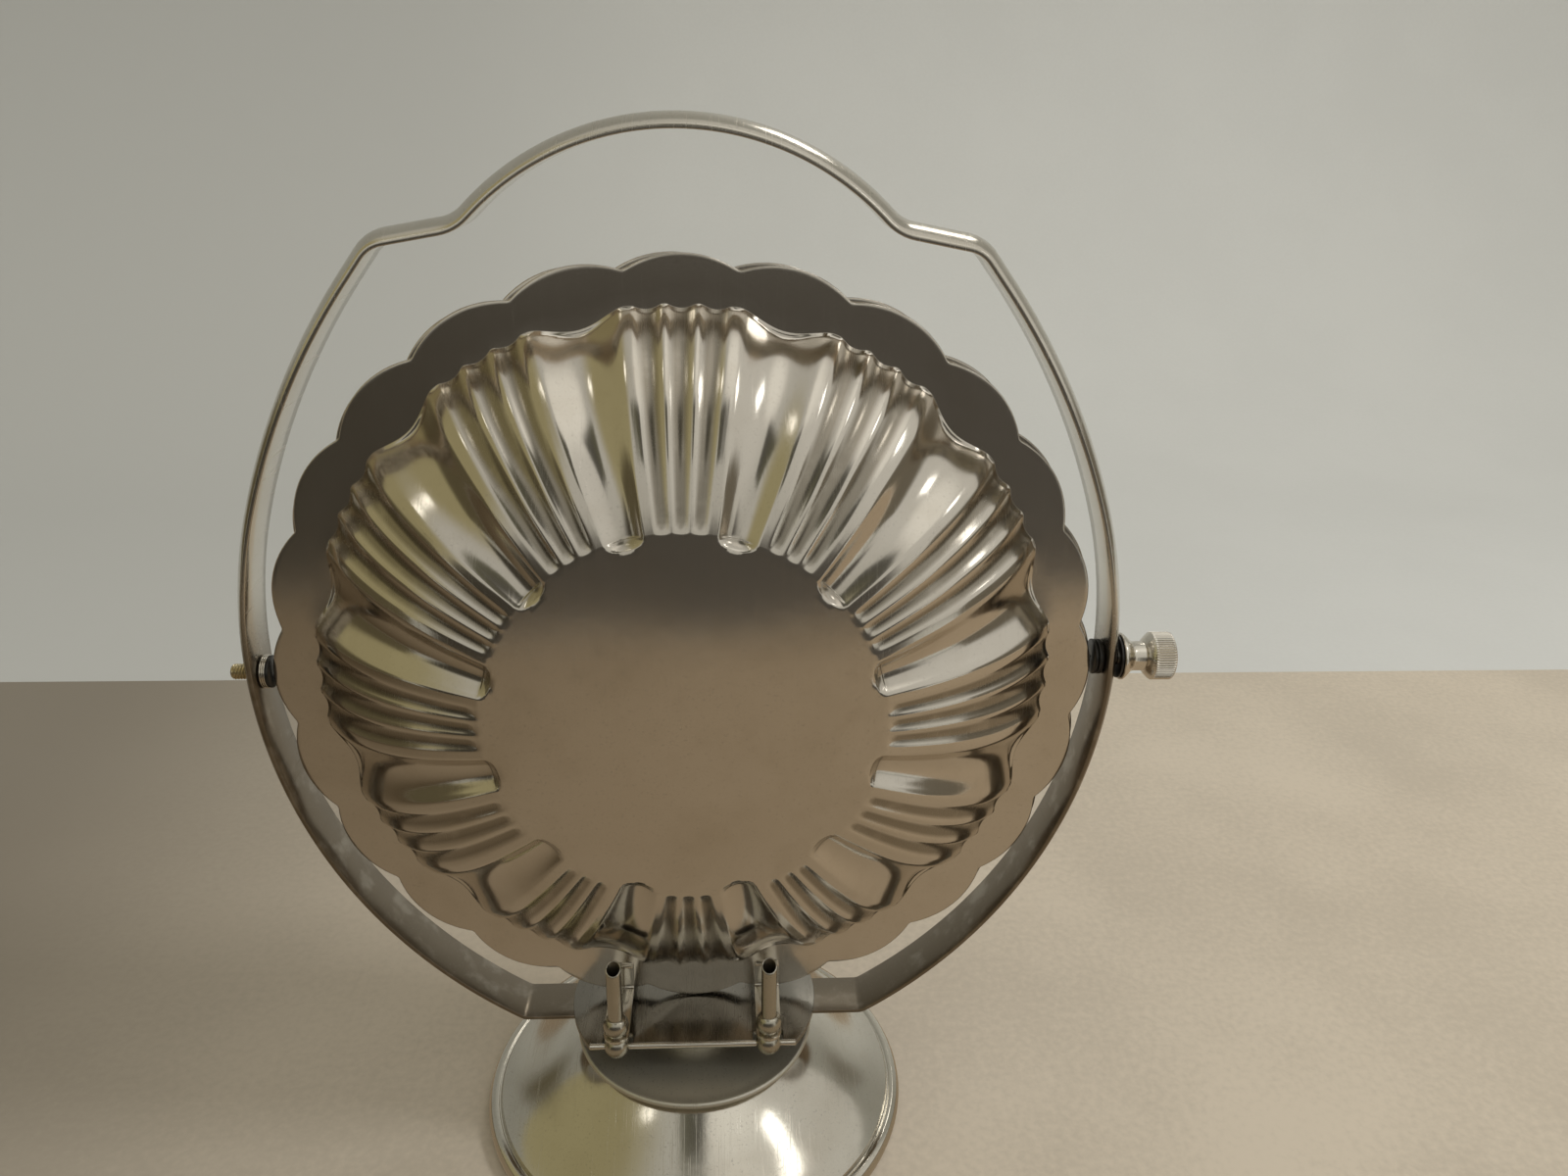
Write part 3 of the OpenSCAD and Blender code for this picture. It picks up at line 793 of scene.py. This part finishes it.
def bracket_line(half, run, height):
    """Middle of the folded strip as (along the shelf, up), from the shelf's round tip to the leg's top."""
    mid_t = BRACKET_T / 2
    leg = run - mid_t
    fold = leg - BRACKET_BEND
    tip = [(half * (1 - math.cos(a)), mid_t) for a in np.linspace(0, math.pi / 2, 9)]
    bend = [(fold + BRACKET_BEND * math.sin(a), mid_t + BRACKET_BEND - BRACKET_BEND * math.cos(a))
            for a in np.linspace(0, math.pi / 2, 7)]
    rise = [(leg, z) for z in (height * 0.6, height - 0.9, height - 0.45, height - 0.15, height)]
    return np.array(tip + bend + rise)


def make_bracket(node):
    """A folded strip: a round-ended shelf under the arm, then a leg up the dish's rim flange."""
    low, high = box_mm(node)
    half, x_mid = (high.x - low.x) / 2, (high.x + low.x) / 2
    outward = -1 if low.y + high.y < 0 else 1
    tip = low.y if outward < 0 else high.y
    line = bracket_line(half, high.y - low.y, high.z - low.z)
    along = np.gradient(line, axis=0)
    along /= np.linalg.norm(along, axis=1)[:, None]
    normals = np.stack([-along[:, 1], along[:, 0]], 1)
    widths = [math.sqrt(max(0.05, half ** 2 - (half - min(s, half)) ** 2)) for s, _ in line]
    for k, narrow in zip((-2, -1), LEG_CORNERS):
        widths[k] -= narrow

    points = []
    mid_t = BRACKET_T / 2
    for (s, z), (ns, nz), w in zip(line, normals, widths):
        section = [(-w, -mid_t), (w, -mid_t), (w, mid_t), (-w, mid_t)]
        for across, up in rounded(section, BRACKET_ROUND, steps=2):
            points.append((x_mid + across, tip - outward * (s + ns * up), low.z + z + nz * up))
    columns = len(points) // len(line)
    faces = grid_faces(len(line), columns)
    faces.append(list(range(columns))[::-1])
    faces.append(list(range(len(points) - columns, len(points))))
    finish_piece(new_object(node, points, faces), node, STAND_METAL)


def make_arms():
    """The two arms of each dish, with their knuckles, collars and brackets."""
    for dish in ("front", "back"):
        for side in ("l", "r"):
            make_bead(f"{dish}_knuckle_{side}", KNUCKLE_WIDEST)
            make_bead(f"{dish}_collar_{side}")
            make_arm(f"{dish}_arm_{side}")
            make_bracket(f"{dish}_bracket_{side}")


# ---------- side screws ----------

BOLT_BORE = 2.02
SHANK_BORE = 2.3
SHANK_R = 2.0
NECK_R = 3.7             # of the thumb screw, between its flange and its knob
THREAD_PITCH = 0.7
THREAD_DEPTH = 0.28
KNURLS = 56
KNURL_DEPTH = 0.36


def make_ring(node, bore, material, soft=0.12, cuts=(), floor=0.0):
    """A washer or pad round the X axis, softened at its corners.

    Each of the cuts round its outside is (place as a share of its length, width, depth); floor is the
    thickness of a closed end towards the dish.
    """
    low, high = box_mm(node)
    near, far = (low.x, high.x) if low.x > 0 else (high.x, low.x)
    radius = (high.z - low.z) / 2
    way = 1 if far > near else -1
    outer = []
    for share, width, depth in cuts:
        at, half = near + (far - near) * share, way * width / 2
        outer += [(radius, at - half), (radius - depth, at - half)]
        outer += [(radius - depth, at + half), (radius, at + half)]
    inner = [(bore, far), (bore, near + way * floor)]
    if floor:
        inner += [(0.2, near + way * floor), (0.2, near)]
    outline = rounded([(radius, near)] + outer + [(radius, far)] + inner, soft)
    ring = lathe(node, outline, side_axis(node), axis="x", closed=True, segments=72)
    finish_piece(ring, node, material)


def make_left_bolt():
    """The end of a threaded bolt: a fine screw thread outside the strap."""
    low, high = box_mm("left_bolt")
    radius = (high.z - low.z) / 2
    outline = [(0, low.x), (radius - 0.5, low.x), (radius - 0.25, low.x + 0.3)]
    outline += [(radius - 0.05, h) for h in np.arange(low.x + 0.5, high.x - 0.2, THREAD_PITCH / 6)]
    outline += [(radius - 0.25, high.x), (0, high.x)]

    def thread(p, q, h, angle):
        r = math.hypot(p, q)
        if r < radius - 0.1:
            return p, q, h
        phase = (h / THREAD_PITCH + angle / (2 * math.pi)) % 1
        share = (r - THREAD_DEPTH * abs(2 * phase - 1)) / r
        return p * share, q * share, h

    bolt = lathe("bolt", outline, side_axis("left_bolt"), axis="x", segments=48, shape=thread)
    finish_piece(bolt, "left_bolt", BRASS_METAL)


def make_thumb_shank():
    """The thumb screw's shank, its domed flange outside the strap, and its neck."""
    low, high = box_mm("thumb_shank")
    flange_r = (high.z - low.z) / 2
    start = box_mm("thumb_washer")[1].x + 0.15
    # (radius, distance from the start) down the flange's domed face
    dome = [(flange_r - 0.2, 0.0), (flange_r, 0.2), (flange_r, 0.55), (flange_r - 0.25, 1.0),
            (flange_r - 0.7, 1.55), (flange_r - 1.3, 2.1), (flange_r - 1.8, 2.6), (NECK_R + 0.1, 3.1),
            (NECK_R, 3.6)]
    outline = [(0, low.x), (SHANK_R - 0.3, low.x), (SHANK_R, low.x + 0.3), (SHANK_R, start)]
    outline += [(r, start + along) for r, along in dome]
    outline += [(NECK_R, high.x), (0, high.x)]
    shank = lathe("shank", outline, side_axis("thumb_shank"), axis="x", segments=72)
    finish_piece(shank, "thumb_shank", BRIGHT_METAL)


def make_thumb_knob():
    """The thumb screw's knob, with a knurled band between a coned back and a flat front."""
    low, high = box_mm("thumb_knob")
    radius = (high.z - low.z) / 2
    left, right = low.x, high.x
    band_low, band_high = left + 2.0, right - 0.65
    back = [(0, left), (NECK_R - 0.05, left), (NECK_R + 0.35, left + 0.12), (radius - 1.1, left + 0.75),
            (radius - 0.45, left + 1.35), (radius - 0.08, left + 1.85)]
    band = [(radius, x) for x in np.linspace(band_low, band_high, 12)]
    front = [(radius - 0.2, band_high + 0.3), (radius - 0.6, right - 0.12), (radius - 1.4, right),
             (radius - 3.2, right - 0.15), (0, right - 0.3)]

    def knurl(p, q, h, angle):
        r = math.hypot(p, q)
        ends = smooth_step((h - band_low + 0.3) / 0.5) * smooth_step((band_high + 0.4 - h) / 0.5)
        if r < radius - 0.3 or ends <= 0:
            return p, q, h
        share = (r - KNURL_DEPTH * abs(math.cos(angle * KNURLS / 2)) ** 2.2 * ends) / r
        return p * share, q * share, h

    knob = lathe("knob", back + band + front, side_axis("thumb_knob"), axis="x",
                 segments=KNURLS * 8, shape=knurl)
    finish_piece(knob, "thumb_knob", BRIGHT_METAL)


def make_side_screws():
    """The bolt with its collar and pad at the left, the thumb screw with its pad and washer at the right."""
    make_left_bolt()
    make_ring("left_collar", BOLT_BORE, BRIGHT_METAL, soft=0.16, cuts=[(0.31, 0.15, 0.5), (0.69, 0.15, 0.5)])
    make_ring("left_pad", BOLT_BORE, BLACK_RUBBER, soft=0.2, floor=0.38)
    make_ring("right_pad", SHANK_BORE, BLACK_RUBBER, soft=0.25, cuts=[(0.4, 0.25, 0.6)], floor=0.6)
    make_ring("thumb_washer", SHANK_BORE, BLACK_RUBBER)
    make_thumb_shank()
    make_thumb_knob()


def paint_kept_nodes():
    """The hidden pieces inside the foot keep their CAD shape."""
    for node, material in (("neck", STAND_METAL), ("centre_stud", BRASS_METAL),
                           ("centre_washer", BRASS_METAL), ("centre_nut", BRASS_METAL)):
        mesh = frame["nodes"][node].data
        mesh.materials.clear()
        mesh.materials.append(material)


# ---------- studio, in metres ----------

TABLE_HALF_W = 1.4
TABLE_FRONT_Y = -0.37
TABLE_BACK_Y = 0.26
FLOOR_Z = -0.0006        # of the pale floor, just under the table top
FLOOR_HALF_W = 2.2
FLOOR_FRONT_Y = -2.2
WALL_Y = 0.95
WALL_TOP_Z = 2.4
COVE_R = 0.42            # of the curve from floor to wall


def plain(name, colour, grain, left, rough=0.8):
    """A matt surface with a faint grain, and painted shade that darkens it to the share `left` toward its
    left end.
    """
    material, tree, shader = new_material(name)
    place = add(tree, "ShaderNodeTexCoord").outputs["Object"]
    soft = noise(tree, place, 9.0, detail=4.0)
    fine = noise(tree, place, 420.0, detail=3.0)
    both = maths(tree, "ADD", maths(tree, "MULTIPLY", soft, 0.6), maths(tree, "MULTIPLY", fine, 0.4))
    dark = times(colour, 1 - grain)
    even = mix_colour(tree, ramp(tree, both, 0.35, 0.65), dark, colour)
    # Painted shade: darker toward the left end, away from the light at the right.
    side = ramp(tree, add(tree, "ShaderNodeSeparateXYZ", {"Vector": place}).outputs["X"], 0.0, -0.30)
    fill(tree, shader, {"Base Color": mix_colour(tree, side, even, times(dark, left)), "Roughness": rough})
    return material


def glow(name, left, right, fades):
    """A glowing card that runs from one colour at its left to another at its right.

    Each fade is (axis, clear at, solid at) in shares of the card's size; the card dissolves over it.
    """
    material, tree, _ = new_material(name)
    tree.nodes.clear()
    place = add(tree, "ShaderNodeTexCoord").outputs["Generated"]
    parts = add(tree, "ShaderNodeSeparateXYZ", {"Vector": place}).outputs
    colour = mix_colour(tree, ramp(tree, parts["X"], 0.1, 0.75), left, right)
    light = add(tree, "ShaderNodeEmission", {"Color": colour, "Strength": 1.0})
    clear = add(tree, "ShaderNodeBsdfTransparent")
    mask = 1.0
    for axis, clear_at, solid_at in fades:
        ends = (0.0, 1.0) if solid_at > clear_at else (1.0, 0.0)
        step = ramp(tree, parts[axis], min(clear_at, solid_at), max(clear_at, solid_at), *ends)
        mask = maths(tree, "MULTIPLY", mask, step)
    blend = add(tree, "ShaderNodeMixShader", {0: mask, 1: clear.outputs[0], 2: light.outputs[0]})
    add(tree, "ShaderNodeOutputMaterial", {"Surface": blend.outputs[0]})
    return material


def rectangle(x, y, z):
    """Corners of a rectangle: one of x, y and z is a number, and the other two are (low, high)."""
    spans = [s if isinstance(s, tuple) else (s, s) for s in (x, y, z)]
    first, second = (k for k in range(3) if spans[k][0] != spans[k][1])
    corners = []
    for i, j in ((0, 0), (1, 0), (1, 1), (0, 1)):
        corner = [span[0] for span in spans]
        corner[first], corner[second] = spans[first][i], spans[second][j]
        corners.append(corner)
    return corners


def sheet(name, corners, material):
    """A flat sheet of the studio."""
    mesh = bpy.data.meshes.new(name)
    mesh.from_pydata(corners, [], [tuple(range(len(corners)))])
    mesh.materials.append(material)
    obj = add_object(name, mesh)
    return obj


def card(name, corners, material):
    """A sheet that only the metal mirrors."""
    obj = sheet(name, corners, material)
    obj.visible_camera = False
    obj.visible_diffuse = False
    obj.visible_shadow = False


def make_floor():
    """A beige table top, and behind it a pale floor that curves up into a plain wall, both with painted shade
    toward the left.
    """
    # Painted shade: the table and the backdrop darken toward the left.
    pale = plain("pale_backdrop", (0.67, 0.68, 0.68), 0.03, left=0.93)
    beige = plain("beige_table", (0.66, 0.585, 0.49), 0.16, left=0.52)
    cove_y = WALL_Y - COVE_R
    profile = [(FLOOR_FRONT_Y, FLOOR_Z), (cove_y, FLOOR_Z)]
    profile += [(cove_y + COVE_R * math.sin(a), FLOOR_Z + COVE_R * (1 - math.cos(a)))
                for a in np.linspace(0, math.pi / 2, 24)[1:]]
    profile.append((WALL_Y, WALL_TOP_Z))
    points = [(x, y, z) for y, z in profile for x in (-FLOOR_HALF_W, FLOOR_HALF_W)]
    backdrop = new_object("backdrop", np.array(points) / MM, grid_faces(len(profile), 2, close_columns=False))
    backdrop.data.materials.append(pale)
    sheet("table", rectangle((-TABLE_HALF_W, TABLE_HALF_W), (TABLE_FRONT_Y, TABLE_BACK_Y), 0), beige)


# The cards' materials and names, with the left tone, right tone and fades of glow(), and their corners
CARDS = [
    ("dark_room", "front_card", (0.045, 0.039, 0.028), (0.082, 0.074, 0.062),
     [("Z", 1.0, 0.72), ("X", 0.0, 0.08), ("X", 1.0, 0.9)],
     rectangle((-0.50, 0.36), TABLE_FRONT_Y - 0.004, (0.0, 0.24))),
    ("shade_above_foot", "foot_card", (0.10, 0.095, 0.06), (0.085, 0.08, 0.065),
     [("Y", 0.0, 0.15), ("Y", 1.0, 0.85), ("X", 0.0, 0.2), ("X", 1.0, 0.8)],
     rectangle((-0.06, 0.045), (-0.27, -0.085), 0.31)),
    ("left_card_glow", "left_card", (0.10, 0.083, 0.045), (0.10, 0.083, 0.045),
     [("Z", 1.0, 0.6), ("Y", 1.0, 0.8)],
     rectangle(-0.76, (-0.45, 0.62), (0.0, 0.34))),
    ("right_card_glow", "right_card", (0.15, 0.13, 0.095), (0.15, 0.13, 0.095),
     [("Z", 1.0, 0.6), ("Y", 1.0, 0.8)],
     rectangle(0.76, (-0.45, 0.62), (0.0, 0.34))),
    ("front_shade", "shade_card", (0.085, 0.062, 0.035), (0.39, 0.305, 0.205),
     [("Y", 1.0, 0.85), ("X", 0.0, 0.06), ("X", 1.0, 0.94)],
     rectangle((-0.75, 0.75), (TABLE_FRONT_Y, 0.19), 0.0007)),
]


def make_cards():
    """What the metal mirrors and the camera does not see: the dark room round the table, and its shade."""
    for material_name, name, left, right, fades, corners in CARDS:
        card(name, corners, glow(material_name, left, right, fades))


def direction(azimuth, elevation):
    """A unit vector; azimuth 0 is toward the viewer, 90 to the right, in degrees."""
    a, e = math.radians(azimuth), math.radians(elevation)
    return Vector((math.sin(a) * math.cos(e), -math.cos(a) * math.cos(e), math.sin(e)))


# Broad soft areas of the room round the object: azimuth, elevation, inner and outer angle, colour
ROOM = [
    (150, 10, 30, 70, (0.58, 0.56, 0.50)),
    (75, 42, 20, 66, (0.62, 0.60, 0.54)),
    (38, 66, 6, 25, (0.88, 0.85, 0.77)),
    (-80, 24, 25, 52, (0.34, 0.30, 0.165)),
    (0, -4, 8, 15, (0.085, 0.078, 0.066)),
]
ROOM_BASE = (0.50, 0.485, 0.43)
BACKDROP = (0.46, 0.45, 0.40)    # what the camera sees past the wall's ends


def make_room():
    """The world: the room that lights the object and that its metal mirrors."""
    world = bpy.data.worlds.new("room")
    bpy.context.scene.world = world
    world.use_nodes = True
    tree = world.node_tree
    tree.nodes.clear()
    ray = add(tree, "ShaderNodeTexCoord").outputs["Generated"]
    colour = ROOM_BASE
    for azimuth, elevation, inner, outer, tone in ROOM:
        toward = add(tree, "ShaderNodeVectorMath", {0: ray, 1: tuple(direction(azimuth, elevation))},
                     operation="DOT_PRODUCT").outputs["Value"]
        share = ramp(tree, toward, math.cos(math.radians(outer)), math.cos(math.radians(inner)))
        colour = mix_colour(tree, share, colour, tone)
    seen = add(tree, "ShaderNodeLightPath").outputs["Is Camera Ray"]
    colour = mix_colour(tree, seen, colour, BACKDROP)
    back = add(tree, "ShaderNodeBackground", {"Color": colour, "Strength": 1.0})
    add(tree, "ShaderNodeOutputWorld", {"Surface": back.outputs[0]})


# Area lights aimed at the dishes' centre: name, azimuth, elevation, distance, width, height, watts, colour.
# The last value says whether the metal mirrors the light: table_right only lights the table.
LIGHTS = [
    ("key_right", 67, 41, 1.2, 0.18, 0.24, 0.4, (1.0, 0.98, 0.93), True),
    ("high_left", -58, 57, 1.3, 0.15, 0.15, 0.12, (1.0, 0.97, 0.90), True),
    ("table_right", 80, 38, 1.2, 0.20, 0.20, 4.6, (1.0, 0.98, 0.94), False),
    ("high_back", 152, 46, 1.3, 0.30, 0.20, 0.9, (1.0, 0.97, 0.90), True),
]


def make_lights():
    """The lights of the list, each facing the dishes."""
    aim = Vector((0, 0, RIM_Z * MM))
    for name, azimuth, elevation, distance, width, height, watts, colour, mirrored in LIGHTS:
        data = bpy.data.lights.new(name, "AREA")
        data.shape = "RECTANGLE"
        data.size, data.size_y = width, height
        data.energy = watts
        data.color = colour
        obj = add_object(name, data)
        obj.location = aim + direction(azimuth, elevation) * distance
        obj.rotation_mode = "QUATERNION"
        obj.rotation_quaternion = (aim - obj.location).to_track_quat("-Z", "Y")
        obj.visible_glossy = mirrored


# ---------- camera ----------

CAMERA_PLACE = (9.9, -254.7, 260.2)    # in millimetres
CAMERA_YAW, CAMERA_PITCH, CAMERA_ROLL = 3.0, 22.4, -0.9
CAMERA_LENS = 26.3
SENSOR_WIDTH = 36


def make_camera():
    """The photograph's camera, as it was fitted to outlines in the photograph."""
    yaw, pitch, roll = (math.radians(a) for a in (CAMERA_YAW, CAMERA_PITCH, CAMERA_ROLL))
    level = Vector((math.sin(yaw), math.cos(yaw), 0))
    right = Vector((math.cos(yaw), -math.sin(yaw), 0))
    ahead = level * math.cos(pitch) - Vector((0, 0, math.sin(pitch)))
    down = -level * math.sin(pitch) - Vector((0, 0, math.cos(pitch)))
    x_axis = right * math.cos(roll) + down * math.sin(roll)
    y_axis = right * math.sin(roll) - down * math.cos(roll)
    data = bpy.data.cameras.new("camera")
    data.sensor_width = SENSOR_WIDTH
    data.lens = CAMERA_LENS
    data.clip_start = 0.01
    obj = add_object("camera", data)
    turn = Matrix((x_axis, y_axis, -ahead)).transposed()
    obj.matrix_world = Matrix.Translation(Vector(CAMERA_PLACE) * MM) @ turn.to_4x4()
    bpy.context.scene.camera = obj


make_camera()
make_dishes()
make_handle()
make_foot()
make_disc()
make_hinge()
make_arms()
make_side_screws()
paint_kept_nodes()
make_floor()
make_cards()
make_room()
make_lights()
bpy.context.scene.view_settings.view_transform = "Standard"
